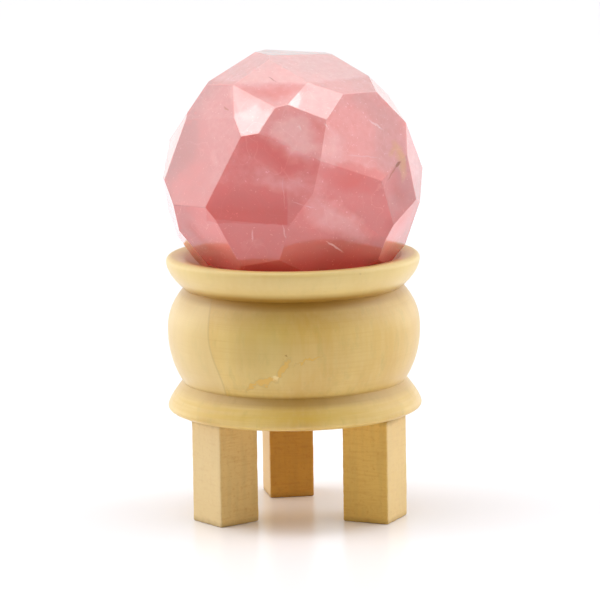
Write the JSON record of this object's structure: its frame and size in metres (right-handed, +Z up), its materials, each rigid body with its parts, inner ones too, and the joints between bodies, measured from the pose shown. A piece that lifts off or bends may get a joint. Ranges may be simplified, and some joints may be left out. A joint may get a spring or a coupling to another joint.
{
  "type": "decorative sphere on a stand",
  "caption": "Hand-faceted ball of translucent pink quartz resting in the cup of a round turned wooden stand with short square legs.",
  "frame": {"origin": "on the floor under the axis of the stand, between the three feet", "axes": "+Z up along the axis of the stand, -Y towards the side that the picture shows, +X to the right of it"},
  "size_m": [0.0604, 0.0596, 0.1087],
  "materials": {
    "rose_quartz": "polished",
    "turned_wood": "satin",
    "sawn_wood": "matte"
  },
  "bodies": {
    "root": {"rose_quartz_ball": "rose_quartz", "turned_stand": "turned_wood", "leg_left": "sawn_wood", "leg_right": "sawn_wood", "leg_back": "sawn_wood"}
  },
  "joints": []
}
